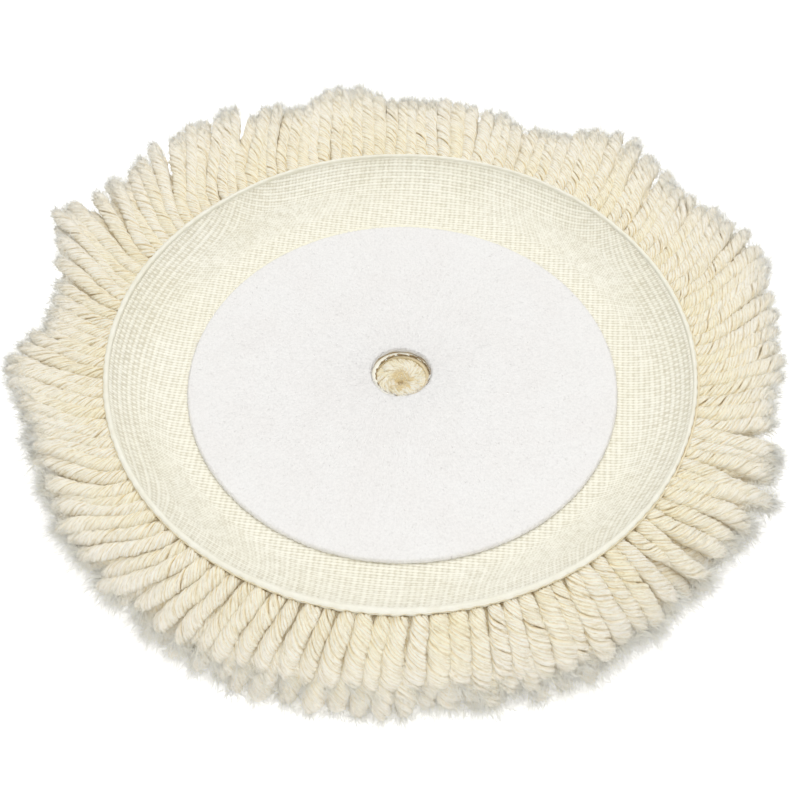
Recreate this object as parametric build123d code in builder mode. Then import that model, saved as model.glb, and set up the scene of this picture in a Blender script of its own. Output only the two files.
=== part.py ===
"""Wool polishing pad with a hook-and-loop back, lying with its pile down.

The pad is a dished laminate with concentric rows of twisted wool pile tufted through it.
The origin is on the centre-hole axis, in the upper face of the liner cloth's flat floor.
+Z points out of the back, towards the machine.
"""

import os
from math import cos, radians, sin

from build123d import *

# Driving dimensions, in millimetres and degrees.
LOOP_DISC_RADIUS = 63.5        # a 5 inch disc, for the common 125 mm backing plate
LOOP_HOLE_RADIUS = 8.9         # the disc's hole is cut larger than the one below it
CENTRE_HOLE_RADIUS = 7.5       # through the cloths, the cup and the latex
FLOOR_RADIUS = 66.0            # the flat floor ends here and the wall starts to rise
RIM_HEIGHT = 10.6              # top of the rim band above the floor
RIM_BAND_HEIGHT = 1.0
RIM_BAND_EASE = 0.35           # bevel on the band's two top corners
OVERALL_RADIUS = 114.5         # widest circle of the pile
OVERALL_HEIGHT = 37.0          # from the table to the top of the rim

ADHESIVE_THICKNESS = 0.3
LOOP_DISC_THICKNESS = 1.3

# Each laminate layer: thickness on the floor and width where it ends under the rim band.
LINER_FLOOR, LINER_RIM = 0.7, 0.5
CUP_FLOOR, CUP_RIM = 1.6, 0.4
LATEX_FLOOR, LATEX_RIM = 0.6, 0.3
TUFTING_FLOOR, TUFTING_RIM = 0.7, 0.5
LINER_RIM_RADIUS = 86.0        # inner edge of the liner where it meets the rim band

FLOOR_ROW_COUNT = 10           # pile rows rooted in the flat floor
WALL_ROW_COUNT = 5             # pile rows rooted in the wall, which flare over the rim
FIRST_ROW_RADIUS = 9.0
FLOOR_SPLAY_RADIUS = 84.0      # where the last floor row's tips rest on the table
REST_RADIUS = 94.0             # the pile leaves the table here
TIP_SWEEP_ANGLE = 108.0        # how far round the flared tips go, from straight down
ROW_GAP = 0.02                 # part of a row's width left open on each side of it

EDGE_PLANE = RIM_HEIGHT - RIM_BAND_HEIGHT
TABLE_HEIGHT = RIM_HEIGHT - OVERALL_HEIGHT
PILE_ROOT_HEIGHT = -(LINER_FLOOR + CUP_FLOOR + LATEX_FLOOR + TUFTING_FLOOR)
PILE_RIM_RADIUS = LINER_RIM_RADIUS + LINER_RIM + CUP_RIM + LATEX_RIM + TUFTING_RIM
FLARE_CENTRE_HEIGHT = -5.0     # height of the widest circle of the pile

os.makedirs("parts", exist_ok=True)


def save(part, label):
    """Label a finished piece and write it as its own STEP file."""
    part.label = label
    export_step(part, f"parts/{label}.step")


def wall_arc(floor_height, rim_radius):
    """Centre height, radius and end angle of the arc that leaves the floor flat and ends at the rim."""
    run = rim_radius - FLOOR_RADIUS
    rise = EDGE_PLANE - floor_height
    radius = (run**2 + rise**2) / (2 * rise)
    chord_slope = Vector(run, rise).get_angle(Vector(1, 0))
    return floor_height + radius, radius, 2 * chord_slope


def wall_point(floor_height, rim_radius, angle):
    """Point on the wall arc, at an angle measured from the arc's lowest point."""
    centre_height, radius, _ = wall_arc(floor_height, rim_radius)
    turn = radians(angle)
    return FLOOR_RADIUS + radius * sin(turn), centre_height - radius * cos(turn)


def dished_layer(top_height, thickness, inner_rim_radius, rim_width):
    """A flat floor with the centre hole and a wall that curves up to the rim."""
    bottom_height = top_height - thickness
    outer_rim_radius = inner_rim_radius + rim_width
    top_mid = wall_point(top_height, inner_rim_radius, wall_arc(top_height, inner_rim_radius)[2] / 2)
    low_mid = wall_point(bottom_height, outer_rim_radius, wall_arc(bottom_height, outer_rim_radius)[2] / 2)
    with BuildPart() as layer:
        with BuildSketch(Plane.XZ):
            with BuildLine():
                Line((CENTRE_HOLE_RADIUS, bottom_height), (CENTRE_HOLE_RADIUS, top_height))
                Line((CENTRE_HOLE_RADIUS, top_height), (FLOOR_RADIUS, top_height))
                ThreePointArc((FLOOR_RADIUS, top_height), top_mid, (inner_rim_radius, EDGE_PLANE))
                Line((inner_rim_radius, EDGE_PLANE), (outer_rim_radius, EDGE_PLANE))
                ThreePointArc((outer_rim_radius, EDGE_PLANE), low_mid, (FLOOR_RADIUS, bottom_height))
                Line((FLOOR_RADIUS, bottom_height), (CENTRE_HOLE_RADIUS, bottom_height))
            make_face()
        revolve(axis=Axis.Z)
    return layer.part


def flat_ring(bottom_height, thickness):
    """A flat ring the size of the loop disc."""
    with BuildPart() as ring:
        with BuildSketch(Plane.XY.offset(bottom_height)):
            Circle(LOOP_DISC_RADIUS)
            Circle(LOOP_HOLE_RADIUS, mode=Mode.SUBTRACT)
        extrude(amount=thickness)
    return ring.part


def rim_band():
    """The smooth lip that closes the edges of all the layers, with its top corners eased."""
    inner_top = LINER_RIM_RADIUS + RIM_BAND_EASE
    outer_top = PILE_RIM_RADIUS - RIM_BAND_EASE
    shoulder = RIM_HEIGHT - RIM_BAND_EASE
    with BuildPart() as band:
        with BuildSketch(Plane.XZ):
            with BuildLine():
                Polyline(
                    (LINER_RIM_RADIUS, EDGE_PLANE),
                    (LINER_RIM_RADIUS, shoulder),
                    (inner_top, RIM_HEIGHT),
                    (outer_top, RIM_HEIGHT),
                    (PILE_RIM_RADIUS, shoulder),
                    (PILE_RIM_RADIUS, EDGE_PLANE),
                    close=True,
                )
            make_face()
        revolve(axis=Axis.Z)
    return band.part


def root_point(row):
    """Where the pile leaves the tufting cloth; row 0 is next to the hole, the last is at the rim."""
    if row <= FLOOR_ROW_COUNT:
        pitch = (FLOOR_RADIUS - FIRST_ROW_RADIUS) / FLOOR_ROW_COUNT
        return FIRST_ROW_RADIUS + pitch * row, PILE_ROOT_HEIGHT
    rim_angle = wall_arc(PILE_ROOT_HEIGHT, PILE_RIM_RADIUS)[2]
    angle = rim_angle * (row - FLOOR_ROW_COUNT) / WALL_ROW_COUNT
    return wall_point(PILE_ROOT_HEIGHT, PILE_RIM_RADIUS, angle)


def tip_point(row):
    """Where the pile ends: on the table, then round the flared edge."""
    if row <= FLOOR_ROW_COUNT:
        splay = (FLOOR_SPLAY_RADIUS - FIRST_ROW_RADIUS) / FLOOR_ROW_COUNT
        return FIRST_ROW_RADIUS + splay * row, TABLE_HEIGHT
    past_floor = row - FLOOR_ROW_COUNT
    if past_floor <= 1:
        return FLOOR_SPLAY_RADIUS + (REST_RADIUS - FLOOR_SPLAY_RADIUS) * past_floor, TABLE_HEIGHT
    turn = radians(TIP_SWEEP_ANGLE * (past_floor - 1) / (WALL_ROW_COUNT - 1))
    radius = REST_RADIUS + (OVERALL_RADIUS - REST_RADIUS) * sin(turn)
    height = FLARE_CENTRE_HEIGHT - (FLARE_CENTRE_HEIGHT - TABLE_HEIGHT) * cos(turn)
    return radius, height


def pile_row(index):
    """One ring of tufts, from its roots in the cloth to its tips."""
    first = index + ROW_GAP
    last = index + 1 - ROW_GAP
    middle = index + 0.5
    in_wall = index >= FLOOR_ROW_COUNT
    round_tip = index > FLOOR_ROW_COUNT
    with BuildPart() as row:
        with BuildSketch(Plane.XZ):
            with BuildLine():
                if in_wall:
                    ThreePointArc(root_point(first), root_point(middle), root_point(last))
                else:
                    Line(root_point(first), root_point(last))
                Line(root_point(last), tip_point(last))
                if round_tip:
                    ThreePointArc(tip_point(last), tip_point(middle), tip_point(first))
                else:
                    Line(tip_point(last), tip_point(first))
                Line(tip_point(first), root_point(first))
            make_face()
        revolve(axis=Axis.Z)
    return row.part


# The layers that the machine side shows, from the top down.
save(flat_ring(ADHESIVE_THICKNESS, LOOP_DISC_THICKNESS), "loop_disc")
save(flat_ring(0, ADHESIVE_THICKNESS), "loop_adhesive_film")
save(rim_band(), "rim_band")

# The dished laminate: each layer lies against the one before it.
LAYERS = [
    ("liner_cloth", LINER_FLOOR, LINER_RIM),
    ("backing_cup", CUP_FLOOR, CUP_RIM),
    ("latex_coat", LATEX_FLOOR, LATEX_RIM),
    ("tufting_cloth", TUFTING_FLOOR, TUFTING_RIM),
]
layer_top = 0
layer_rim_radius = LINER_RIM_RADIUS
for name, floor_thickness, rim_width in LAYERS:
    save(dished_layer(layer_top, floor_thickness, layer_rim_radius, rim_width), name)
    layer_top -= floor_thickness
    layer_rim_radius += rim_width

# The wool pile, one node for each ring of tufts.
for index in range(FLOOR_ROW_COUNT + WALL_ROW_COUNT):
    save(pile_row(index), f"pile_row_{index + 1:02d}")
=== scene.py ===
"""Looks of a wool polishing pad with a hook-and-loop back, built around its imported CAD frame.

Metres, in the CAD's own frame: the origin is on the centre-hole axis in the liner's flat floor,
+Z points out of the back, and the pad lies on its pile.
"""

from math import atan, cos, pi, radians, sin

import bpy
import numpy as np
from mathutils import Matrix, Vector


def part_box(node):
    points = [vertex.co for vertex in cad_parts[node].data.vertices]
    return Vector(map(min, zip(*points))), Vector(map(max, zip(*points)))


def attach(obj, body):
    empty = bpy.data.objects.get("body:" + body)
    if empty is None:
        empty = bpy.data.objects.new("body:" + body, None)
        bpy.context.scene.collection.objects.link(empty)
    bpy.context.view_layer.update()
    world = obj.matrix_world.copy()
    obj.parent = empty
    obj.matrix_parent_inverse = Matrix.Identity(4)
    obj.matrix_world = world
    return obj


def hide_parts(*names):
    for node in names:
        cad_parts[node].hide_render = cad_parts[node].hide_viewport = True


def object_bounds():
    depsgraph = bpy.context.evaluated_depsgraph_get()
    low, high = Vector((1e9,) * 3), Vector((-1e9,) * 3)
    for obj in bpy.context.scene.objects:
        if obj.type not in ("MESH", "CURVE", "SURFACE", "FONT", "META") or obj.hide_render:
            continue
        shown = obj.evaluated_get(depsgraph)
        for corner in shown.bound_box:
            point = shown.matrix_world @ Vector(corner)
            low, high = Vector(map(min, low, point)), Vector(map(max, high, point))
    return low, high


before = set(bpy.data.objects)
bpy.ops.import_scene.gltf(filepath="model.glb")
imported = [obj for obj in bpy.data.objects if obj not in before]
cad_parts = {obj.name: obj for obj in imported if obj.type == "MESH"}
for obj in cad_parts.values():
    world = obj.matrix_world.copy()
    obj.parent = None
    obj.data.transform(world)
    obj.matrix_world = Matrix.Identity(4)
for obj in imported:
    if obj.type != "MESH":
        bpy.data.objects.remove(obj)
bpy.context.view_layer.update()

MM = 0.001

# Places that the frame gives.
RIM_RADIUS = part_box("rim_band")[1][0]
RIM_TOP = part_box("rim_band")[1][2]
EDGE_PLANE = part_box("rim_band")[0][2]
LOOP_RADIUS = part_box("loop_disc")[1][0]
LOOP_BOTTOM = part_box("loop_disc")[0][2]
LOOP_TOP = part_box("loop_disc")[1][2]
PILE_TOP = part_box("tufting_cloth")[0][2]
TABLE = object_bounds()[0][2]

# The dish: a flat floor and a wall whose section is one arc, as the CAD has it.
FLOOR_RADIUS = 66.0 * MM
LINER_RIM_RADIUS = 86.0 * MM
LOOP_HOLE_RADIUS = 8.9 * MM

# The pile.
FIRST_ROW_RADIUS = 9.0 * MM
FLOOR_ROWS = 10
WALL_ROWS = 5
YARN_PITCHES = (3.6, 3.7, 4.7)   # mm from tuft to tuft at the (back, side, front)
YARN_ROOT_SHARE = 0.50           # a tuft's radius at its root, in pitches
YARN_TIP_SHARE = 0.56            # and at the cut end
PILE_LENGTH = 30.0 * MM
TABLE_ROOM = 2.2 * MM            # how far above the table a tuft's middle stays
ROOT_LAY = 11.0 * MM             # length of one turn of the plies at the root
TIP_LAY = 12.8 * MM              # and at the cut end, where the twist opens
SINGLES = 10                     # twisted strands that make one yarn
SINGLE_PLACE = 0.70              # a single's distance from the yarn's middle, in yarn radii
SINGLE_SIZE = 0.30               # and its radius
TIP_LENGTH = 3.4 * MM            # the frayed end
TIP_STATIONS = (0.35, 0.65, 0.87, 1.0)
LOOSER = (radians(145), 0.5)     # azimuth and width of the stretch where the tufts lie less evenly
TOUSLED = (radians(333), 0.24)   # and of the one where they are tousled

# How the tufts lie, all round: azimuth in degrees, then the sideways lean there in degrees, how much
# longer than usual the pile is in mm, and how much higher its ends point in degrees.
ROUND_THE_RIM = [
    (0, 33, -0.5, 0), (8, 33, 6.5, 2), (15, 32, 7.5, 4), (22, 31, 3, 6), (30, 30, -2, 6),
    (38, 24, 2.5, 6), (45, 20, 5, 5), (53, 16, 2, 4), (57, 15, -7, -1), (61, 13, -6, -2),
    (67, 12, -7, -5), (75, 10, -3, -4), (82, 6, -1, 0), (90, 0, -3.5, 0), (96, -8, -0.5, 2),
    (103, -14, 5, 4), (110, -22, 0.5, 6), (117, -32, 0, 6), (124, -38, 6, 5), (132, -40, 11.5, 5),
    (140, -38, 10.5, 5), (148, -35, 7, 4), (155, -32, 7, 3), (162, -30, 12.5, 2), (169, -28, -4.5, 0),
    (178, -25, -9, 0), (188, -29, 1.5, 3), (200, -40, -2.5, 9), (212, -51, 2, 19), (224, -54, 5, 22),
    (234, -48, 5, 9), (242, -44, 5, 4), (258, -30, 5.5, 0), (272, -12, 3, 0), (288, 0, 2, 0),
    (307, 14, -1, 0), (318, 24, -1.5, 0), (336, 20, -1.5, 0), (345, 20, -7, 0), (353, 28, -3, 0),
]


# ---------------------------------------------------------------- meshes

def ease(t):
    """Smooth step from 0 to 1."""
    t = np.clip(t, 0, 1)
    return t * t * (3 - 2 * t)


def make_piece(name, points, faces, material, smooth=True):
    """A mesh object from an array of points and a list of face-index arrays of 3 or 4 columns."""
    mesh = bpy.data.meshes.new(name)
    points = np.asarray(points, np.float32).reshape(-1, 3)
    mesh.vertices.add(len(points))
    mesh.vertices.foreach_set("co", points.ravel())
    sizes = np.concatenate([np.full(len(f), f.shape[1]) for f in faces])
    corners = np.concatenate([f.ravel() for f in faces])
    mesh.loops.add(len(corners))
    mesh.loops.foreach_set("vertex_index", corners.astype(np.int32))
    mesh.polygons.add(len(sizes))
    starts = np.concatenate([[0], np.cumsum(sizes)[:-1]])
    mesh.polygons.foreach_set("loop_start", starts.astype(np.int32))
    mesh.update(calc_edges=True)
    mesh.polygons.foreach_set("use_smooth", np.full(len(sizes), smooth))
    mesh.materials.append(material)
    piece = bpy.data.objects.new(name, mesh)
    bpy.context.scene.collection.objects.link(piece)
    return piece


def add_values(piece, name, values):
    """A vector for each vertex, for the piece's material to read."""
    layer = piece.data.attributes.new(name, "FLOAT_VECTOR", "POINT")
    layer.data.foreach_set("vector", np.asarray(values, np.float32).ravel())


def closed_quads(rows, columns):
    """Quads between the points of a grid that closes on itself both ways."""
    number = np.arange(rows * columns).reshape(rows, columns)
    after = np.roll(number, -1, 0)
    return np.stack([number, after, np.roll(after, -1, 1), np.roll(number, -1, 1)], -1).reshape(-1, 4)


def tube_faces(strands, rings, sides):
    """Quads along closed tubes stored as (strand, ring, side), and fans that close both ends."""
    count = rings * sides
    ring, side = np.meshgrid(np.arange(rings - 1), np.arange(sides), indexing="ij")
    after = (side + 1) % sides
    quad = np.stack([ring * sides + side, ring * sides + after,
                     (ring + 1) * sides + after, (ring + 1) * sides + side], -1).reshape(-1, 4)
    block = np.arange(strands)[:, None, None] * (count + 2)
    quads = (quad + block).reshape(-1, 4)
    first = np.arange(sides)
    second = (first + 1) % sides
    root = np.stack([np.full(sides, count), second, first], -1)
    last = (rings - 1) * sides
    tip = np.stack([np.full(sides, count + 1), last + first, last + second], -1)
    fans = (np.concatenate([root, tip]) + block).reshape(-1, 3)
    return quads, fans


# ---------------------------------------------------------------- wool

def drift(rng, azimuth, waves):
    """A smooth random value, about -1 to 1, that closes on itself round the pad."""
    total = np.zeros_like(azimuth)
    for wave in waves:
        total += np.cos(wave * azimuth + rng.uniform(0, 2 * pi))
    return total / len(waves) ** 0.5


def round_the_pad(azimuth, values):
    """A value for each azimuth, from the (back, side, front) values."""
    back, side, front = values
    height = np.sin(azimuth)
    return np.where(height > 0, side + (back - side) * height, side + (front - side) * height**2)


def near(azimuth, place):
    """How near each azimuth is to a place given as (azimuth, width): 1 at it, 0 far from it."""
    middle, width = place
    return np.exp(-((azimuth - middle) / width) ** 2)


def yarn_paths(rng, row):
    """Centre lines of one row's tufts and the directions across them: arrays of (strand, ring, 3)."""
    round_trip = np.linspace(0, 2 * pi, 721)
    density = row["radius"] / (round_the_pad(round_trip, YARN_PITCHES) * MM)
    passed = np.concatenate([[0], np.cumsum((density[1:] + density[:-1]) / 2 * np.diff(round_trip))])
    count = int(round(passed[-1]))
    number = np.arange(count) + 0.5 + rng.uniform(-0.11, 0.11, count)
    azimuth = np.interp(number * passed[-1] / count, passed, round_trip)
    pitch_here = round_the_pad(azimuth, YARN_PITCHES)[:, None] * MM
    loose = row["loose"] * (1 + 0.3 * near(azimuth, LOOSER))
    tousled = near(azimuth, TOUSLED) * (row["node"] > FLOOR_ROWS)
    facing = np.clip(-np.sin(azimuth), 0, 1)
    hanging = facing**2
    places, leans, extras, lifts = np.array(ROUND_THE_RIM, float).T
    here = np.degrees(azimuth) % 360
    lean = np.radians(np.interp(here, places, leans, period=360)) * row["swirl"]
    extra = np.interp(here, places, extras, period=360) * MM
    lift = np.radians(np.interp(here, places, lifts, period=360)) * row["swirl"] ** 2
    shared = np.random.default_rng(row["clumps"])
    tufted = drift(shared, azimuth, (17, 23, 31, 42)) * radians(2.1)
    lifted = drift(shared, azimuth, (11, 19, 29, 37)) * radians(2.2)
    lean += loose * (tufted + rng.normal(0, radians(1.8), count) * (1 + 1.2 * hanging))
    stray = (rng.random(count) < 0.11 + 0.1 * hanging + 0.45 * tousled) * loose
    lean += stray * rng.normal(0, radians(4.5), count) * (1 + 2.6 * tousled)
    raised = stray * rng.uniform(0, radians(6), count) * (1 + 4 * tousled)
    end_pitch = np.radians(round_the_pad(azimuth, row["end"])) + lift + raised
    end_pitch = end_pitch + loose * (lifted + rng.normal(0, radians(2.0), count))
    start_pitch = np.radians(round_the_pad(azimuth, row["start"]))[:, None]
    length = PILE_LENGTH * row["length"] + extra * row["swirl"] ** 2
    length *= 1 + rng.normal(0, 0.024, count) * (1 + 1.6 * hanging)
    length *= 1 - row["front_trim"] * hanging

    body = np.linspace(0, 1, row["rings"] - len(TIP_STATIONS))
    tip_share = TIP_LENGTH / PILE_LENGTH
    along = np.concatenate([body * (1 - tip_share), 1 - tip_share + tip_share * np.array(TIP_STATIONS)])
    phase = rng.uniform(0, 2 * pi, count)[:, None]
    wayward = (1 + 2.0 * tousled + 0.5 * facing)[:, None]
    bend = rng.normal(0, radians(5), count)[:, None] * np.sin(pi * along * 1.3 + phase) * wayward
    heading = azimuth[:, None] + lean[:, None] * (0.5 + 0.5 * ease(along / 0.45)) + bend * loose[:, None]
    pitch = start_pitch + (end_pitch[:, None] - start_pitch) * along ** row["curl"]
    across = np.stack([-np.sin(heading), np.cos(heading), np.zeros_like(heading)], -1)
    onward = np.stack([np.cos(pitch) * np.cos(heading), np.cos(pitch) * np.sin(heading), np.sin(pitch)], -1)
    root = np.stack([row["radius"] * np.cos(azimuth), row["radius"] * np.sin(azimuth),
                     np.full(count, row["height"]) + rng.normal(0, 0.12 * MM, count)], -1)
    steps = (onward[:, 1:] + onward[:, :-1]) / 2 * np.diff(along)[None, :, None] * length[:, None, None]
    centre = np.concatenate([np.zeros((count, 1, 3)), np.cumsum(steps, 1)], 1) + root[:, None, :]

    # A tuft that would pass through the table is pressed up against it.
    drop = root[:, 2] - centre[:, :, 2].min(1)
    room = root[:, 2] - (TABLE + TABLE_ROOM)
    squeeze = np.minimum(1, room / np.maximum(drop, 1e-6))
    centre[:, :, 2] = root[:, None, 2] + (centre[:, :, 2] - root[:, None, 2]) * squeeze[:, None]
    tangent = np.gradient(centre, axis=1)
    tangent /= np.linalg.norm(tangent, axis=2, keepdims=True)
    up = np.cross(tangent, across)
    up /= np.linalg.norm(up, axis=2, keepdims=True)

    # Soft tufts press together: each one spreads to meet both neighbours and moves to stay midway.
    shape = leaf(along, azimuth)
    thick = pitch_here * (YARN_ROOT_SHARE + (YARN_TIP_SHARE - YARN_ROOT_SHARE) * along) * shape
    thick = thick * (1 + (row["fullness"] - 1) * along)
    thick = thick * (1 + rng.normal(0, 0.05, count) * (1 + hanging + tousled))[:, None]
    merged = round_the_pad(azimuth, (1.36, 1.42, 1.30))[:, None]
    gap = ((np.roll(centre, -1, 0) - centre) * across).sum(2)
    before = np.roll(gap, 1, 0)
    shift = np.clip((gap - before) / 4, -0.9 * MM, 0.9 * MM) * ease(along / 0.2)
    centre = centre + shift[:, :, None] * across
    half_width = np.clip((gap + before) / 4 * merged, 0.9 * thick, 1.3 * thick) * shape**0.5
    return centre, across, up, tangent, along, length, half_width, thick


def twist_along(rng, along, length):
    """How far each yarn's plies have turned at each station, in radians: (strand, ring)."""
    count = len(length)
    lay = ROOT_LAY + (TIP_LAY - ROOT_LAY) * along
    turns = np.concatenate([[0], np.cumsum(np.diff(along) * 2 / (lay[1:] + lay[:-1]))])
    tight = rng.normal(1, 0.07, count)[:, None]
    return 2 * pi * turns[None, :] * length[:, None] * tight + rng.uniform(0, 2 * pi, count)[:, None]


def leaf(along, azimuth):
    """Each tuft's width along its length: the hanging ones at the front are drawn in at the cut end."""
    hanging = np.interp(along, (0, 0.12, 0.5, 0.8, 0.93, 1), (0.80, 0.93, 1.05, 1.09, 0.96, 0.66))
    bushy = np.interp(along, (0, 0.12, 0.5, 0.8, 0.93, 1), (0.86, 0.97, 1.00, 1.04, 1.06, 0.97))
    return bushy + (hanging - bushy) * round_the_pad(azimuth, (0.1, 0.1, 1.0))[:, None]


def end_taper(along):
    """How thin the plies of a tuft get where they fray at the cut end."""
    places = (0, 0.02, 1 - TIP_LENGTH / PILE_LENGTH, 0.95, 0.985, 1)
    return np.interp(along, places, (0.8, 1, 1, 0.97, 0.85, 0.45))


def squared(turned):
    """Reach of a rounded square in each direction, so that neighbouring yarns meet."""
    corner = 2.4
    return (np.abs(np.cos(turned)) ** corner + np.abs(np.sin(turned)) ** corner) ** (-1 / corner)


def singles_surface(rng, paths, sides):
    """Yarns built of separate twisted singles: points (strand * single, ring, side, 3) and their values."""
    centre, across, up, tangent, along, length, half_width, thick = paths
    count, rings = len(length), len(along)
    twist = twist_along(rng, along, length)
    start = 2 * pi * np.arange(SINGLES) / SINGLES + rng.normal(0, 0.07, (count, SINGLES))
    wander = rng.normal(0, 0.13, (count, SINGLES, 1)) * np.sin(
        2 * pi * along * rng.uniform(0.8, 2.2, (count, SINGLES, 1)) + rng.uniform(0, 6, (count, SINGLES, 1)))
    turned = start[:, :, None] - twist[:, None, :] + wander
    fray = ease((along - 0.78) / 0.22)
    out = SINGLE_PLACE * (1 + rng.normal(0, 0.055, (count, SINGLES, 1)))
    out = out * (1 - 0.32 * fray * rng.uniform(0.3, 1.3, (count, SINGLES, 1)))
    out = out * (1 - 0.4 * ease((along - 0.95) / 0.05))
    waves = 2 * pi * along[None, :] * rng.uniform(1.5, 4, (count, 1))
    swell = 1 + 0.05 * np.sin(waves + rng.uniform(0, 6, (count, 1)))
    thick = thick * swell
    out = out * squared(turned)
    wide = (half_width * swell)[:, None, :]
    outward = np.cos(turned)[..., None] * across[:, None] + np.sin(turned)[..., None] * up[:, None]
    middle = (centre[:, None] + (out * wide * np.cos(turned))[..., None] * across[:, None]
              + (out * thick[:, None] * np.sin(turned))[..., None] * up[:, None])
    extra = rng.normal(0, 0.5 * MM, (count, SINGLES, 1)) * ease((along - 0.55) / 0.45)
    middle = middle + extra[..., None] * tangent[:, None]
    onward = np.gradient(middle, axis=2)
    onward /= np.maximum(np.linalg.norm(onward, axis=3, keepdims=True), 1e-9)
    sideways = np.cross(onward, outward)
    sideways /= np.maximum(np.linalg.norm(sideways, axis=3, keepdims=True), 1e-9)
    outward = np.cross(sideways, onward)

    angle = 2 * pi * np.arange(sides) / sides
    size = SINGLE_SIZE * (1 + rng.normal(0, 0.07, (count, SINGLES, 1))) * thick[:, None] * end_taper(along)
    size = size * (1 + 0.45 * fray)
    size = size * (1 + rng.normal(0, 0.08, (count, SINGLES, rings)))
    reach = size[..., None] * (1 + rng.normal(0, 0.07, (count, SINGLES, rings, sides)))
    points = (middle[:, :, :, None] + (reach * np.cos(angle))[..., None] * outward[:, :, :, None]
              + (reach * 1.08 * np.sin(angle))[..., None] * sideways[:, :, :, None])
    number = rng.uniform(0, 400, (count, SINGLES, 1, 1))
    run = np.broadcast_to((along * PILE_LENGTH / MM)[:, None], reach.shape)
    untwisted = np.stack([reach * np.cos(angle) / MM + number, reach * np.sin(angle) / MM, run], -1)
    # inside: how far round a single faces the yarn's middle; the wool material paints groove shade there
    inside = np.broadcast_to((1 - np.cos(angle)) / 2, reach.shape)
    tone = 0.6 * rng.uniform(0, 1, (count, 1, 1, 1)) + 0.4 * rng.uniform(0, 1, (count, SINGLES, 1, 1))
    tone = np.broadcast_to(tone, reach.shape)
    share = np.broadcast_to(along[:, None], reach.shape)
    shape = (count * SINGLES, rings, sides, 3)
    values = np.stack([share, inside, tone], -1)
    return points.reshape(shape), untwisted.reshape(shape), values.reshape(shape)


def whole_surface(rng, paths, sides):
    """Yarns as single ridged tubes, for rows that are mostly hidden."""
    centre, across, up, _, along, length, half_width, thick = paths
    count = len(length)
    angle = 2 * pi * np.arange(sides) / sides
    turned = angle[None, None, :] - twist_along(rng, along, length)[:, :, None]
    ridge = np.abs(np.cos(angle * SINGLES / 2)) ** 0.8
    shape = squared(turned) * (1 - 0.17 * (1 - ridge)) * (1 + rng.normal(0, 0.025, turned.shape))
    reach = shape * end_taper(along)[None, :, None]
    wide = (reach * np.cos(turned) * half_width[:, :, None])[..., None]
    high = (reach * np.sin(turned) * thick[:, :, None])[..., None]
    points = centre[:, :, None, :] + wide * across[:, :, None, :] + high * up[:, :, None, :]
    number = rng.uniform(0, 400, (count, 1, 1))
    run = np.broadcast_to((along * PILE_LENGTH / MM)[:, None], reach.shape)
    untwisted = np.stack([reach * 2 * np.cos(angle) + number, reach * 2 * np.sin(angle), run], -1)
    # inside: how far down between the ridges a point lies; the wool material paints groove shade there
    inside = np.broadcast_to((1 - ridge) * 0.5, reach.shape)
    tone = np.broadcast_to(rng.uniform(0, 1, (count, 1, 1)), reach.shape)
    share = np.broadcast_to(along[:, None], reach.shape)
    return points, untwisted, np.stack([share, inside, tone], -1)


def with_ends(values, first, last):
    """Per-vertex values with one more for each closing fan: (strand, rings * sides + 2, 3)."""
    count = len(values)
    return np.concatenate([values.reshape(count, -1, 3), first[:, None, :], last[:, None, :]], 1)


def spindles(base, middle, tip, thickness):
    """Closed hairs, pointed at both ends and bent at the middle: their points and faces."""
    count = len(base)
    along = tip - base
    along /= np.maximum(np.linalg.norm(along, axis=1, keepdims=True), 1e-9)
    helper = np.where(np.abs(along[:, 2:]) < 0.8, [[0.0, 0, 1]], [[1.0, 0, 0]])
    one = np.cross(along, helper)
    one /= np.linalg.norm(one, axis=1, keepdims=True)
    two = np.cross(along, one)
    angle = 2 * pi * np.arange(3) / 3
    ring = np.cos(angle)[None, :, None] * one[:, None, :] + np.sin(angle)[None, :, None] * two[:, None, :]
    waist = middle[:, None, :] + ring * thickness[:, None, None]
    points = np.concatenate([base[:, None, :], waist, tip[:, None, :]], 1)
    first, after = np.array([1, 2, 3]), np.array([2, 3, 1])
    fans = np.concatenate([np.stack([np.zeros(3, int), after, first], -1),
                           np.stack([np.full(3, 4), first, after], -1)])
    return points.reshape(-1, 3), [(fans[None] + np.arange(count)[:, None, None] * 5).reshape(-1, 3)]


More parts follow.
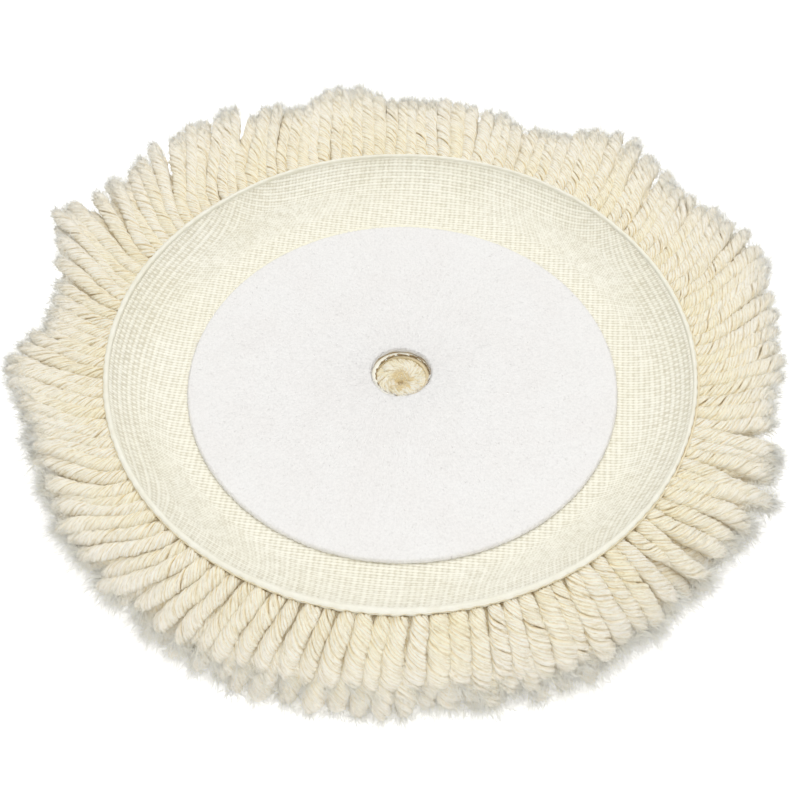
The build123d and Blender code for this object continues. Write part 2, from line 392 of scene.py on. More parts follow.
def fuzz(name, rng, surface, along, count, material):
    """Loose fibres on a row of tufts: brushed-out cut ends, and strays that lie along the plies.

    The hanging tufts at the front are the most brushed out.
    """
    strands, rings, sides = surface.shape[:3]
    middle = surface.mean(2)
    tips = middle[:, -1]
    facing = np.clip(-tips[:, 1] / np.hypot(tips[:, 0], tips[:, 1]), 0, 1)
    strand = rng.choice(strands, count, p=(1 + facing) / (1 + facing).sum())
    at_tip = rng.random(count) < 0.62
    share = np.where(at_tip, 1 - 0.17 * rng.random(count) ** 1.2, rng.random(count) ** 0.8 * 0.97)
    ring = np.clip(np.searchsorted(along, share), 1, rings - 2)
    side = rng.integers(0, sides, count)
    starts = surface[strand, ring, side]
    outward = starts - middle[strand, ring]
    outward /= np.maximum(np.linalg.norm(outward, axis=1, keepdims=True), 1e-9)
    onward = middle[strand, ring + 1] - middle[strand, ring - 1]
    onward /= np.maximum(np.linalg.norm(onward, axis=1, keepdims=True), 1e-9)

    # Brushed ends point onward and fan out; strays follow their single and lift off it a little.
    brush = onward + outward * rng.uniform(0.0, 0.8, count)[:, None] + rng.normal(0, 0.42, (count, 3))
    reach = ((0.8 + 3.4 * rng.random(count) ** 1.6) * (1 + 0.5 * facing[strand]))[:, None] * MM
    brush_middle = starts + brush * reach * 0.4
    brush_tip = brush_middle + (brush + rng.normal(0, 0.35, (count, 3))) * reach * 0.6
    further = np.minimum(ring + rng.integers(1, 4, count), rings - 1)
    landing = surface[strand, further, (side + rng.integers(-1, 2, count)) % sides]
    lift = rng.uniform(0.0, 0.7, count)[:, None] * MM
    stray_tip = landing + outward * lift + rng.normal(0, 0.45 * MM, (count, 3))
    stray_middle = (starts + landing) / 2 + outward * (0.10 * MM + lift * 0.4)
    pick = at_tip[:, None]
    thickness = np.where(at_tip, rng.uniform(0.03, 0.075, count), rng.uniform(0.045, 0.095, count)) * MM
    points, faces = spindles(starts - outward * 0.1 * MM, np.where(pick, brush_middle, stray_middle),
                             np.where(pick, brush_tip, stray_tip), thickness)
    points[:, 2] = np.maximum(points[:, 2], TABLE)
    piece = make_piece(name, points, faces, material)
    add_values(piece, "wool", np.repeat(np.stack([share, at_tip, rng.random(count)], 1), 5, 0))
    return piece


def build_row(rng, row, material, fibre_material):
    """One row of twisted tufts that stands for its CAD ring, and its loose fibres."""
    name = row["name"]
    node = "pile_row_{:02d}".format(row["node"])
    paths = yarn_paths(rng, row)
    if row["singles"]:
        surface, untwisted, values = singles_surface(rng, paths, row["sides"])
    else:
        surface, untwisted, values = whole_surface(rng, paths, row["sides"])
    if name == "floor_01":
        # These tips meet in the shade of the centre hole and are not brushed out: their ends get painted
        # shade, not the whiter cut-end colour.
        values[..., 1] = np.maximum(values[..., 1], 0.85 * ease((values[..., 0] - 0.62) / 0.36))
        values[..., 0] *= 0.3
    strands, rings, sides = surface.shape[:3]
    points = with_ends(surface, surface[:, 0].mean(1), surface[:, -1].mean(1))
    piece = make_piece(name + "_tufts", points, list(tube_faces(strands, rings, sides)), material)
    add_values(piece, "untwisted", with_ends(untwisted, untwisted[:, 0, 0], untwisted[:, -1, 0]))
    add_values(piece, "wool", with_ends(values, values[:, 0, 0], values[:, -1, 0]))
    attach(piece, "root")
    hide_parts(node)
    loose = fuzz(name + "_fibres", rng, surface, paths[4], row["fuzz"], fibre_material)
    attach(loose, "root")


# ---------------------------------------------------------------- materials

def new_material(name, roughness, sheen=0.0, specular=0.3):
    """A material with one Principled shader, and its nodes and links."""
    material = bpy.data.materials.new(name)
    material.use_nodes = True
    nodes, links = material.node_tree.nodes, material.node_tree.links
    shader = nodes["Principled BSDF"]
    shader.inputs["Roughness"].default_value = roughness
    shader.inputs["Specular IOR Level"].default_value = specular
    shader.inputs["Sheen Weight"].default_value = sheen
    shader.inputs["Sheen Roughness"].default_value = 0.6
    return material, nodes, links, shader


def noise(nodes, links, vector, scale, detail=3.0, rough=0.6):
    """Noise from 0 to 1 at a place given by vector."""
    node = nodes.new("ShaderNodeTexNoise")
    node.inputs["Scale"].default_value = scale
    node.inputs["Detail"].default_value = detail
    node.inputs["Roughness"].default_value = rough
    links.new(vector, node.inputs["Vector"])
    return node.outputs["Fac"]


def ramp(nodes, links, factor, stops):
    """A colour ramp: stops are (place, (r, g, b))."""
    node = nodes.new("ShaderNodeValToRGB")
    elements = node.color_ramp.elements
    while len(elements) < len(stops):
        elements.new(0.5)
    for element, (place, colour) in zip(elements, stops):
        element.position = place
        element.color = (*colour, 1)
    links.new(factor, node.inputs["Fac"])
    return node.outputs["Color"]


def feed(links, value, socket):
    """Give a socket another socket's value, a colour or a number."""
    if isinstance(value, bpy.types.NodeSocket):
        links.new(value, socket)
    elif isinstance(value, tuple):
        socket.default_value = (*value, 1)
    else:
        socket.default_value = value


def mix(nodes, links, kind, factor, one, two):
    """A colour mix; factor, one and two are sockets, numbers or colours."""
    node = nodes.new("ShaderNodeMix")
    node.data_type = "RGBA"
    node.blend_type = kind
    for index, value in ((0, factor), (6, one), (7, two)):
        feed(links, value, node.inputs[index])
    return node.outputs[2]


def compute(nodes, links, operation, *values):
    """A Math node's result; values are sockets or numbers."""
    node = nodes.new("ShaderNodeMath")
    node.operation = operation
    for socket, value in zip(node.inputs, values):
        feed(links, value, socket)
    return node.outputs[0]


def bump(nodes, links, shader, height, distance, strength=1.0):
    """Shade the surface as if it stood out by distance where height is 1."""
    node = nodes.new("ShaderNodeBump")
    node.inputs["Strength"].default_value = strength
    node.inputs["Distance"].default_value = distance
    links.new(height, node.inputs["Height"])
    links.new(node.outputs["Normal"], shader.inputs["Normal"])


def attribute(nodes, name):
    """The three values kept at each vertex under a name."""
    node = nodes.new("ShaderNodeAttribute")
    node.attribute_name = name
    return node.outputs["Vector"]


def separate(nodes, links, vector):
    node = nodes.new("ShaderNodeSeparateXYZ")
    links.new(vector, node.inputs[0])
    return node.outputs


def stretched(nodes, links, vector, scale):
    """A vector with each part multiplied by its scale."""
    node = nodes.new("ShaderNodeMapping")
    node.inputs["Scale"].default_value = scale
    links.new(vector, node.inputs["Vector"])
    return node.outputs["Vector"]


WOOL_CREAM = (0.96, 0.91, 0.68)
WOOL_PALE = (0.975, 0.965, 0.88)
WOOL_TIP = (0.945, 0.95, 0.93)
# Painted shade: the tan that the wool gets in the grooves between its plies
WOOL_GROOVE_SHADE = (0.75, 0.60, 0.31)


def wool_material():
    """Cream plied yarn: fine fibres along the plies, painted tan shade in the grooves, a faint warm painted
    glow, whiter and greyer at the cut ends.
    """
    material, nodes, links, shader = new_material("twisted_wool", 0.9, sheen=0.5, specular=0.1)
    along, inside, tone = separate(nodes, links, attribute(nodes, "wool"))
    untwisted = attribute(nodes, "untwisted")
    streaks = noise(nodes, links, stretched(nodes, links, untwisted, (1, 1, 0.3)), 1.7, 4, 0.75)
    body = mix(nodes, links, "MIX", tone, WOOL_CREAM, WOOL_PALE)
    at_tip = compute(nodes, links, "MULTIPLY", compute(nodes, links, "POWER", along, 2.2), 0.95)
    body = mix(nodes, links, "MIX", at_tip, body, WOOL_TIP)
    # Painted shade: darker tan where a single faces into the yarn, less of it at the cut ends
    groove_shade = ramp(nodes, links, inside, [(0.08, (0, 0, 0)), (0.42, (1, 1, 1))])
    groove_shade = mix(nodes, links, "MIX", at_tip, groove_shade, (0.2, 0.2, 0.2))
    body = mix(nodes, links, "MIX", groove_shade, body, WOOL_GROOVE_SHADE)
    fibre = ramp(nodes, links, streaks, [(0.30, (0.70, 0.615, 0.43)), (0.52, (1, 1, 1))])
    links.new(mix(nodes, links, "MULTIPLY", 0.8, body, fibre), shader.inputs["Base Color"])
    bump(nodes, links, shader, streaks, 0.8 * MM, 0.9)
    # Painted light: a faint warm glow that lifts the shaded crevices between the tufts
    shader.inputs["Emission Color"].default_value = (1.0, 0.76, 0.42, 1)
    shader.inputs["Emission Strength"].default_value = 0.08
    return material


def fibre_material():
    """Loose wool fibres: cream along the yarns and greyer at the cut ends."""
    material, nodes, links, shader = new_material("wool_fibres", 0.85, sheen=0.3, specular=0.15)
    along, _, tone = separate(nodes, links, attribute(nodes, "wool"))
    ends = mix(nodes, links, "MIX", tone, (0.90, 0.905, 0.885), (0.975, 0.975, 0.955))
    strays = mix(nodes, links, "MIX", tone, WOOL_CREAM, (0.97, 0.955, 0.88))
    grey = compute(nodes, links, "MULTIPLY", compute(nodes, links, "POWER", along, 6.0), 0.9)
    links.new(mix(nodes, links, "MIX", grey, strays, ends), shader.inputs["Base Color"])
    return material


# ---------------------------------------------------------------- dish, cloth and trim

def wall_arc():
    """Radius and end angle of the arc that the liner's wall follows in section."""
    run, rise = LINER_RIM_RADIUS - FLOOR_RADIUS, EDGE_PLANE
    return (run**2 + rise**2) / (2 * rise), 2 * atan(rise / run)


ARC_RADIUS, ARC_ANGLE = wall_arc()
LINER_FLAT_RADIUS = FLOOR_RADIUS + ARC_RADIUS * ARC_ANGLE


def dished(flat_x, flat_y, lift):
    """Points of a flat cloth pressed into the dish, with each raised along the surface by lift."""
    flat_radius = np.hypot(flat_x, flat_y)
    turn = np.maximum(flat_radius - FLOOR_RADIUS, 0) / ARC_RADIUS
    radius = np.where(turn > 0, FLOOR_RADIUS + (ARC_RADIUS - lift) * np.sin(turn), flat_radius)
    height = np.where(turn > 0, ARC_RADIUS - (ARC_RADIUS - lift) * np.cos(turn), lift)
    share = radius / np.maximum(flat_radius, 1e-9)
    return np.stack([flat_x * share, flat_y * share, height], -1)


WARP_PITCH = 1.60 * MM       # between the threads that run along Y
WEFT_PITCH = 1.03 * MM       # between the threads that cross them, every other one heavier
CLOTH_TURN = radians(-6)     # the cloth lies slightly turned on the pad
TUCKED = 0.5 * MM            # how far the cloth runs on under the rim's lip
HOLE_EDGE = 8.0 * MM         # the cloth's own hole, cut a little off centre
HOLE_SHIFT = 0.5 * MM
COVERED_RADIUS = 61.0 * MM   # the loop disc hides the cloth inside this
COVERED_DEPTH = 0.14 * MM    # and is a plain sheet there, this far below its CAD face
OPENING_DEPTH = 0.24 * MM    # the openings between threads lie this far below that face
THREAD_RELIEF = 0.34 * MM    # and the proudest threads stand this far above the openings


def thread_places(flat_x, flat_y):
    """Where a place on the flat cloth lies in the weave, in threads, and how proud the warp is there.

    The steep outer wall drew the threads round, so that there they run beside the rim.
    """
    radius = np.hypot(flat_x, flat_y)
    corner = 6
    reach = np.maximum((np.abs(flat_x) ** corner + np.abs(flat_y) ** corner) ** (1 / corner), 1e-9)
    drawn = ease((radius - FLOOR_RADIUS - 4 * MM) / (11 * MM))
    factor = 1 + drawn * (radius / reach - 1)
    warp_up = drawn * (flat_x / np.maximum(radius, 1e-9)) ** 2
    return flat_x * factor / WARP_PITCH, flat_y * factor / WEFT_PITCH, warp_up


def weave_height(u, v, warp_up):
    """Height from 0 to 1 of a plain weave, for places counted in threads across and along.

    Where the cloth is drawn sideways up the wall, warp_up rises to 1 and the warp stands proud.
    """
    column, line = np.round(u), np.round(v)
    warp = np.cos(pi * (u - column)) ** 0.7 * (0.5 + 0.5 * np.cos(pi * (v - column)))
    weft = np.cos(pi * (v - line)) ** 0.7 * (0.68 - 0.32 * np.cos(pi * (u - line)))
    weft *= 0.84 + 0.16 * np.cos(pi * line)
    return np.maximum((0.74 + 0.26 * warp_up) * warp, (1 - 0.28 * warp_up) * weft)


def build_liner(material):
    """The woven liner: relief of every thread where it shows, and a plain sheet under the loop disc."""
    fine_x, fine_y = WARP_PITCH / 4, WEFT_PITCH / 4
    cut_radius = LINER_FLAT_RADIUS + TUCKED
    half_x = int(cut_radius / fine_x) + 1
    half_y = int(cut_radius / fine_y) + 1
    grid_x, grid_y = np.meshgrid(np.arange(-half_x, half_x + 1) * fine_x,
                                 np.arange(-half_y, half_y + 1) * fine_y, indexing="ij")
    radius = np.hypot(grid_x, grid_y)
    kept = (radius > COVERED_RADIUS) & (radius < cut_radius)
    whole = kept[:-1, :-1] & kept[1:, :-1] & kept[1:, 1:] & kept[:-1, 1:]
    index = np.arange(grid_x.size).reshape(grid_x.shape)
    quads = np.stack([index[:-1, :-1], index[1:, :-1], index[1:, 1:], index[:-1, 1:]], -1)[whole]
    used, quads = np.unique(quads, return_inverse=True)
    quads = quads.reshape(-1, 4)
    flat_x, flat_y = grid_x.ravel()[used], grid_y.ravel()[used]
    thread_u, thread_v, warp_up = thread_places(flat_x, flat_y)
    height = weave_height(thread_u, thread_v, warp_up)
    relief = height * THREAD_RELIEF - OPENING_DEPTH
    turned_x = flat_x * cos(CLOTH_TURN) - flat_y * sin(CLOTH_TURN)
    turned_y = flat_x * sin(CLOTH_TURN) + flat_y * cos(CLOTH_TURN)
    shown = dished(turned_x, turned_y, relief)

    rings, sides = 24, 192
    ring_radius = np.linspace(0, 1, rings)[:, None]
    angle = 2 * pi * np.arange(sides)[None, :] / sides
    hole_edge = HOLE_EDGE * (1 + 0.015 * np.sin(5 * angle) + 0.015 * np.sin(13 * angle))
    inner_x = hole_edge * np.cos(angle) + HOLE_SHIFT
    inner_y = hole_edge * np.sin(angle)
    outer = COVERED_RADIUS + 1.2 * MM
    plain_x = inner_x + (outer * np.cos(angle) - inner_x) * ring_radius
    plain_y = inner_y + (outer * np.sin(angle) - inner_y) * ring_radius
    plain = np.stack([plain_x, plain_y, np.full(plain_x.shape, -COVERED_DEPTH)], -1).reshape(-1, 3)
    plain_quads = closed_quads(rings, sides)[:-sides] + len(shown)

    piece = make_piece("woven_liner", np.concatenate([shown, plain]), [quads, plain_quads], material)
    # The third value is the weave's height, which the cloth material uses for its bump and for painted shade
    # between the threads
    threads = np.stack([np.concatenate([thread_u, plain_x.ravel() / WARP_PITCH]),
                        np.concatenate([thread_v, plain_y.ravel() / WEFT_PITCH]),
                        np.concatenate([height * (1 - 0.12 * warp_up), np.ones(len(plain))])], -1)
    add_values(piece, "threads", threads)
    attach(piece, "root")
    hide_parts("liner_cloth")


def build_hole_edge_bead(rng, material):
    """A dark brown broken bead round the edge of the liner's hole."""
    stations, sides = 240, 6
    around = 2 * pi * np.arange(stations) / stations
    broken = drift(rng, around, (2, 5, 9, 16, 27)) + 0.9 * np.sin(around + radians(10))
    thick = (0.05 + 0.2 * ease(0.45 + 0.7 * broken)) * MM
    reach = HOLE_EDGE + (0.12 + 0.1 * drift(rng, around, (7, 15, 33))) * MM
    angle = 2 * pi * np.arange(sides) / sides
    section = reach[:, None] + thick[:, None] * np.cos(angle)
    points = np.stack([section * np.cos(around)[:, None] + HOLE_SHIFT, section * np.sin(around)[:, None],
                       -0.25 * MM + 1.5 * thick[:, None] * np.sin(angle)], -1)
    piece = make_piece("hole_edge_bead", points.reshape(-1, 3), [closed_quads(stations, sides)], material)
    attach(piece, "root")


def cloth_material():
    """Stiffened cream cloth: pale threads, painted shade darkening the openings between them, fine fibre
    noise.
    """
    material, nodes, links, shader = new_material("woven_cloth", 0.8, sheen=0.15, specular=0.2)
    threads = attribute(nodes, "threads")
    cover = separate(nodes, links, threads)[2]
    place = nodes.new("ShaderNodeTexCoord").outputs["Object"]
    wander = compute(nodes, links, "SUBTRACT", noise(nodes, links, place, 420.0, 2), 0.5)
    cover = compute(nodes, links, "ADD", cover, compute(nodes, links, "MULTIPLY", wander, 0.5))
    # Painted shade: the low places between the threads are darker
    openings = ramp(nodes, links, cover, [(0.24, (0.72, 0.69, 0.62)), (0.55, (0.955, 0.95, 0.935)),
                                          (0.76, (1, 1, 1))])
    patches = noise(nodes, links, place, 35.0, 2)
    body = ramp(nodes, links, patches, [(0.3, (0.91, 0.885, 0.76)), (0.7, (0.93, 0.91, 0.805))])
    links.new(mix(nodes, links, "MULTIPLY", 0.95, body, openings), shader.inputs["Base Color"])
    fibres = noise(nodes, links, stretched(nodes, links, threads, (3, 3, 1)), 2.5, 3)
    height = compute(nodes, links, "ADD", cover, compute(nodes, links, "MULTIPLY", fibres, 0.5))
    bump(nodes, links, shader, height, 0.2 * MM, 0.7)
    return material


def revolve(name, profile, sides, material, wobble):
    """A closed ring from a section given as (radius, height) points, made uneven by wobble."""
    profile = np.array(profile)
    angle = 2 * pi * np.arange(sides) / sides
    radius = np.broadcast_to(profile[None, :, 0], (sides, len(profile))).copy()
    height = np.broadcast_to(profile[None, :, 1], (sides, len(profile))).copy()
    wobble(angle[:, None], radius, height)
    points = np.stack([radius * np.cos(angle)[:, None], radius * np.sin(angle)[:, None], height], -1)
    quads = closed_quads(sides, len(profile))
    piece = make_piece(name, points.reshape(-1, 3), [quads[:, ::-1]], material)
    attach(piece, "root")
    return piece


def build_rim(rng, material):
    """The smooth lip round the edge: a low uneven band, scalloped outside where the tufts start."""
    inside = LINER_RIM_RADIUS
    section = [(inside - 0.1 * MM, EDGE_PLANE - 0.5 * MM), (inside - 0.12 * MM, RIM_TOP - 0.45 * MM),
               (inside + 0.05 * MM, RIM_TOP - 0.15 * MM), (inside + 0.35 * MM, RIM_TOP),
               (inside + 0.75 * MM, RIM_TOP - 0.02 * MM), (inside + 1.15 * MM, RIM_TOP - 0.12 * MM),
               (inside + 1.4 * MM, RIM_TOP - 0.4 * MM), (inside + 1.45 * MM, RIM_TOP - 0.9 * MM),
               (inside + 1.3 * MM, EDGE_PLANE - 1.2 * MM), (inside + 0.6 * MM, EDGE_PLANE - 1.2 * MM)]
    swell = [(wave, rng.uniform(0, 2 * pi)) for wave in (3, 7, 19, 41, 73, 110)]
    tufts = round(2 * pi * (RIM_RADIUS - 1.0 * MM) / (YARN_PITCHES[1] * MM))

    def wobble(angle, radius, height):
        """Make the lip uneven: scalloped outside, and narrower at the back right."""
        uneven = sum(np.cos(wave * angle + phase) / wave**0.4 for wave, phase in swell)
        outside = ease((radius - inside - 0.3 * MM) / (1.0 * MM))
        narrower = -0.35 * MM * ease(0.5 + 0.9 * np.cos(angle - radians(40)))
        scallop = 0.2 * MM * np.abs(np.cos(angle * tufts / 2)) - 0.1 * MM
        radius += outside * (narrower + scallop + 0.13 * MM * uneven)
        radius += (1 - outside) * 0.08 * MM * np.roll(uneven, 31, 0)
        height += 0.06 * MM * np.roll(uneven, 7, 0)

    piece = revolve("rim_lip", section, 1608, material, wobble)
    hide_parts("rim_band")


def rim_material():
    """The stiff lip: mottled cream, smoother than the cloth."""
    material, nodes, links, shader = new_material("rim_lip", 0.55, sheen=0.1, specular=0.35)
    place = nodes.new("ShaderNodeTexCoord").outputs["Object"]
    mottle = noise(nodes, links, place, 260.0)
    colour = ramp(nodes, links, mottle, [(0.3, (0.80, 0.77, 0.635)), (0.65, (0.86, 0.84, 0.73))])
    links.new(colour, shader.inputs["Base Color"])
    bump(nodes, links, shader, noise(nodes, links, place, 700.0), 0.2 * MM, 0.7)
    return material


HOLE_SURROUND = 40.0 * MM                 # the glue film is brown inside this
DISC_RADIUS = LOOP_RADIUS + 0.6 * MM
DISC_OFF_CENTRE = (0.4 * MM, -2.4 * MM)   # the disc was glued on by hand, with its hole lined up
NAP_ROUNDING = 0.8 * MM                   # how far in from its edges the nap is rounded off


def on_disc(radius, azimuth):
    """Places on the disc: its rim is off centre and its hole is not."""
    share = np.clip((radius - LOOP_HOLE_RADIUS) / (DISC_RADIUS - LOOP_HOLE_RADIUS), 0, 1)
    x = radius * np.cos(azimuth) + share * DISC_OFF_CENTRE[0]
    y = radius * np.sin(azimuth) + share * DISC_OFF_CENTRE[1]
    return x, y


def build_loop_disc(rng, material, nap_material):
    """The brushed-loop disc: a softly uneven nap with a rounded edge, and loose loops all over it."""
    sides = 1440
    steps = np.concatenate([np.linspace(0, 0.03, 5)[:-1], np.linspace(0.03, 0.985, 60)[:-1],
                            np.linspace(0.985, 1, 5)])
    angle = 2 * pi * np.arange(sides)[None, :] / sides
    hole = LOOP_HOLE_RADIUS * (1 + 0.012 * np.sin(3 * angle + 1) + 0.01 * np.sin(11 * angle))
    radius = hole + (DISC_RADIUS + 0.1 * MM - hole) * steps[:, None]
    radius = radius + rng.normal(0, 0.06 * MM, radius.shape) * (steps[:, None] > 0.98)
    edge = np.minimum(radius - hole, DISC_RADIUS - radius)
    inward = np.clip(edge / NAP_ROUNDING, 0, 1)
    round_off = np.sqrt(inward * (2 - inward))
    height = LOOP_BOTTOM + (LOOP_TOP - LOOP_BOTTOM) * (0.35 + 0.65 * round_off)
    height = height + rng.normal(0, 0.045 * MM, radius.shape)
    upper = np.stack([*on_disc(radius, angle), height], -1)
    lower = upper[[-1, 0]].copy()
    lower[:, :, 2] = LOOP_BOTTOM + 0.02 * MM
    points = np.concatenate([upper, lower])
    piece = make_piece("loop_face", points.reshape(-1, 3), [closed_quads(len(points), sides)], material)
    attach(piece, "root")
    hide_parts("loop_disc")

    count = 16000
    place = np.sqrt(rng.uniform(LOOP_HOLE_RADIUS**2, DISC_RADIUS**2, count))
    chance = rng.random(count)
    at_rim = chance < 0.22
    at_hole = chance > 0.95
    place = np.where(at_rim, DISC_RADIUS - rng.uniform(0, 0.8, count) * MM, place)
    place = np.where(at_hole, LOOP_HOLE_RADIUS + rng.uniform(0, 0.5, count) * MM, place)
    where = rng.uniform(0, 2 * pi, count)
    starts = np.stack([*on_disc(place, where), np.full(count, LOOP_TOP - 0.12 * MM)], -1)
    starts[:, 2] -= np.where(at_rim, rng.uniform(0, 0.8, count) * MM, 0)
    outward = np.stack([np.cos(where), np.sin(where), np.zeros(count)], -1)
    pull = np.where(at_rim, 0.8, np.where(at_hole, -0.8, 0.0))[:, None]
    directions = rng.normal(0, 0.8, (count, 3)) + outward * pull
    directions[:, 2] = np.abs(directions[:, 2]) * 0.5 + 0.15
    lengths = rng.uniform(0.35, 0.95, count)[:, None] * MM
    directions /= np.linalg.norm(directions, axis=1, keepdims=True)
    middle = starts + directions * lengths * 0.5
    tip = middle + (directions + rng.normal(0, 0.5, (count, 3))) * lengths * 0.5
    points, faces = spindles(starts, middle, tip, rng.uniform(0.025, 0.05, count) * MM)
    nap = make_piece("loop_nap", points, faces, nap_material)
    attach(nap, "root")


def loop_material(name, pale):
    """White brushed loops, in greys multiplied by pale."""
    material, nodes, links, shader = new_material(name, 0.85, sheen=0.3, specular=0.2)
    place = nodes.new("ShaderNodeTexCoord").outputs["Object"]
    grain = noise(nodes, links, place, 1400.0, 2)
    patch = noise(nodes, links, place, 60.0, 3)
    dark = (0.785 * pale, 0.775 * pale, 0.758 * pale)
    light = (0.845 * pale, 0.835 * pale, 0.817 * pale)
    colour = ramp(nodes, links, grain, [(0.3, dark), (0.6, light)])
    tint = ramp(nodes, links, patch, [(0.3, (0.98, 0.97, 0.965)), (0.7, (1, 1, 1))])
    links.new(mix(nodes, links, "MULTIPLY", 1.0, colour, tint), shader.inputs["Base Color"])
    bump(nodes, links, shader, grain, 0.25 * MM, 0.6)
    return material


def plain_layer_material(name, low, high, scale, roughness, beyond=None):
    """A hidden or edge-on layer: mottled colour and a fine uneven surface.

    Outside HOLE_SURROUND the colour is beyond, if that is given.
    """
    material, nodes, links, shader = new_material(name, roughness, specular=0.3)
    place = nodes.new("ShaderNodeTexCoord").outputs["Object"]
    mottle = noise(nodes, links, place, scale)
    colour = ramp(nodes, links, mottle, [(0.3, low), (0.7, high)])
    if beyond:
        away = nodes.new("ShaderNodeVectorMath")
        away.operation = "LENGTH"
        links.new(place, away.inputs[0])
        far = compute(nodes, links, "GREATER_THAN", away.outputs["Value"], HOLE_SURROUND)
        colour = mix(nodes, links, "MIX", far, colour, beyond)
    links.new(colour, shader.inputs["Base Color"])
    bump(nodes, links, shader, noise(nodes, links, place, scale * 6), 0.1 * MM, 0.5)
    return material


def finish_cad_layers():
    """Materials for the CAD layers that show in the hole and from below."""
    finishes = {
        "loop_adhesive_film": plain_layer_material(
            "amber_glue", (0.34, 0.22, 0.09), (0.62, 0.48, 0.26), 500.0, 0.45, beyond=(0.86, 0.83, 0.68)),
        "backing_cup": plain_layer_material(
            "cup", (0.62, 0.50, 0.30), (0.78, 0.68, 0.46), 300.0, 0.6),
        "latex_coat": plain_layer_material(
            "latex", (0.42, 0.30, 0.14), (0.66, 0.54, 0.32), 350.0, 0.5),
        "tufting_cloth": plain_layer_material(
            "tufting_cloth", (0.66, 0.57, 0.38), (0.80, 0.72, 0.53), 800.0, 0.85),
    }
    for node, material in finishes.items():
        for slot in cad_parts[node].material_slots:
            slot.material = material


# ---------------------------------------------------------------- rows of pile

def pile_rows():
    """Each row's name, CAD node, root circle and how its tufts lie.

    start, end: the tufts' pitches above the horizontal in degrees, at the (back, side, front)
    length: in pile lengths; front_trim: how much shorter that is at the front
    curl: how late along its length a tuft bends; swirl: how much of ROUND_THE_RIM it takes
    loose: how unevenly the tufts lie; clumps: which pattern of clumps they lean into
    fullness: how much thicker the tufts get towards their ends; fuzz: how many loose fibres
    """
    rows = []
    for index in range(FLOOR_ROWS):
        spacing = (FLOOR_RADIUS - FIRST_ROW_RADIUS) / FLOOR_ROWS
        rows.append(dict(name=f"floor_{index + 1:02d}", node=index + 1,
                         radius=FIRST_ROW_RADIUS + spacing * (index + 0.5), height=PILE_TOP + 0.8 * MM,
                         start=(-90, -90, -90), end=(-50, -50, -50), length=0.92, curl=1.6, swirl=0.0,
                         loose=1.6, clumps=4, front_trim=0.0, rings=14, sides=12, singles=False, fuzz=1500,
                         fullness=1.1))
    # The first row's tufts lie flat across the centre hole.
    rows[0].update(radius=10.4 * MM, height=PILE_TOP + 0.1 * MM, start=(-190, -190, -190),
                   end=(-168, -168, -168), length=0.35, front_trim=0.3, rings=24, sides=5,
                   singles=True, curl=1.0, loose=2.0, fuzz=700)
    rise = EDGE_PLANE - PILE_TOP
    run = RIM_RADIUS - FLOOR_RADIUS
    radius = (run**2 + rise**2) / (2 * rise)
    end = 2 * atan(rise / run)
    lies = [
        dict(start=(-60, -62, -80), end=(-20, -34, -67), swirl=0.5, rings=16, sides=12,
             singles=False, fuzz=9000, fullness=1.25),
        dict(start=(-34, -40, -74), end=(-8, -20, -70), swirl=0.7, rings=20, sides=16,
             singles=False, fuzz=20000, fullness=1.25),
        dict(start=(-20, -26, -66), end=(-5, -10, -73), swirl=0.85, rings=18, sides=5,
             singles=True, fuzz=32000, fullness=1.15),
        dict(start=(-8, -12, -44), end=(5, -2, -73), swirl=0.95, rings=24, sides=5,
             singles=True, fuzz=50000, fullness=1.05),
        dict(start=(-5, -8, -42), end=(12, 6, -92), swirl=1.0, rings=28, sides=5,
             singles=True, fuzz=150000, fullness=1.0),
    ]
    for index, lie in enumerate(lies):
        turn = end * (index + 0.5) / WALL_ROWS
        lie.update(name=f"wall_{index + 1}", node=FLOOR_ROWS + index + 1,
                   radius=FLOOR_RADIUS + radius * sin(turn), height=PILE_TOP + radius * (1 - cos(turn)),
                   length=0.97, curl=1.0, loose=1.0, clumps=5, front_trim=0.0)
        rows.append(lie)
    rows[-1].update(radius=RIM_RADIUS - 1.0 * MM, height=RIM_TOP - 2.7 * MM, length=1.02, front_trim=0.24)
    # One more row under the top one fills it out.
    between = dict(rows[-1], name="wall_5_under", clumps=6, radius=RIM_RADIUS - 2.6 * MM,
                   height=RIM_TOP - 5.8 * MM, start=(-3, -7, -44), end=(11, 4, -86), length=0.98,
                   front_trim=0.10, fuzz=75000, rings=24)
    rows.append(between)
    return rows


# ---------------------------------------------------------------- stage

def floor_material():
    material, nodes, links, shader = new_material("white_table", 0.9, specular=0.1)
    place = nodes.new("ShaderNodeTexCoord").outputs["Object"]
    mottle = noise(nodes, links, place, 3.0)
    colour = ramp(nodes, links, mottle, [(0.3, (0.96, 0.96, 0.96)), (0.7, (0.97, 0.97, 0.97))])
    links.new(colour, shader.inputs["Base Color"])
    shader.inputs["Emission Color"].default_value = (1, 1, 1, 1)
    shader.inputs["Emission Strength"].default_value = 0.55
    return material


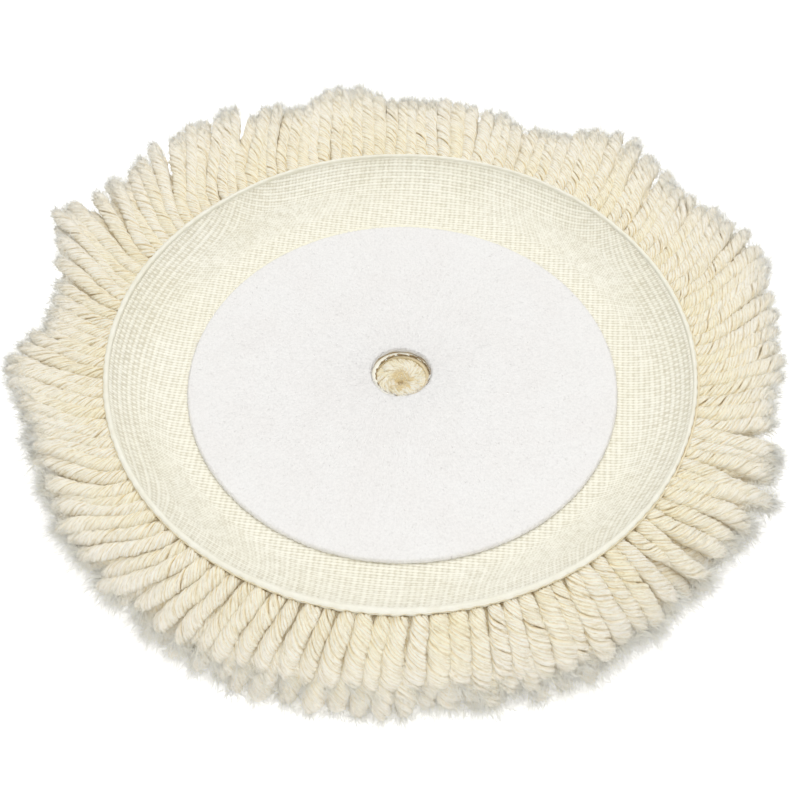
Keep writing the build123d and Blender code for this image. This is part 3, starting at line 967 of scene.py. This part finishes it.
def build_stage():
    """A white table, a long soft light overhead, a weak one in front, and even light all round."""
    corners = np.array([(-3, -3, TABLE), (3, -3, TABLE), (3, 3, TABLE), (-3, 3, TABLE)])
    table = make_piece("table", corners, [np.array([[0, 1, 2, 3]])], floor_material(), smooth=False)
    world = bpy.data.worlds.new("studio")
    world.use_nodes = True
    background = world.node_tree.nodes["Background"]
    background.inputs["Color"].default_value = (1, 1, 1, 1)
    background.inputs["Strength"].default_value = 0.50
    bpy.context.scene.world = world
    for name, place, sizes, power in (
        ("overhead", (0.03, 0.0, 0.8), (0.35, 1.6), 6.1),
        ("front_fill", (0.1, -0.85, 0.55), (0.8, 0.8), 0.5),
    ):
        light = bpy.data.lights.new(name, "AREA")
        light.shape = "RECTANGLE"
        light.size, light.size_y = sizes
        light.energy = power
        lamp = bpy.data.objects.new(name, light)
        lamp.location = place
        across, along, height = place
        lamp.rotation_euler = (atan(-along / height), atan(across / height), 0)
        bpy.context.scene.collection.objects.link(lamp)


def build_camera():
    """A camera about 0.42 m from the rim's centre, 50 degrees above the table."""
    elevation = radians(49.8)
    distance = 4.75 * RIM_RADIUS
    rim_centre = np.array([0.0, 0.0, RIM_TOP])
    place = rim_centre + distance * np.array([0, -cos(elevation), sin(elevation)])
    aim = rim_centre + np.array([-0.3 * MM, -18.0 * MM, 0])
    camera = bpy.data.objects.new("camera", bpy.data.cameras.new("camera"))
    camera.data.lens = 63.4
    camera.data.sensor_width = 36.0
    camera.location = place
    camera.rotation_euler = Vector(aim - place).to_track_quat("-Z", "Y").to_euler()
    bpy.context.scene.collection.objects.link(camera)
    bpy.context.scene.camera = camera


bpy.context.scene.view_settings.view_transform = "Standard"
build_camera()
build_stage()
wool, fibres = wool_material(), fibre_material()
for number, row in enumerate(pile_rows(), 1):
    build_row(np.random.default_rng(100 + number), row, wool, fibres)
build_liner(cloth_material())
build_rim(np.random.default_rng(7), rim_material())
build_hole_edge_bead(np.random.default_rng(9),
                plain_layer_material("dark_brown_bead", (0.16, 0.10, 0.04), (0.42, 0.30, 0.15), 900.0, 0.5))
build_loop_disc(np.random.default_rng(8),
                loop_material("brushed_loop", 1.0), loop_material("loose_loops", 1.02))
finish_cad_layers()
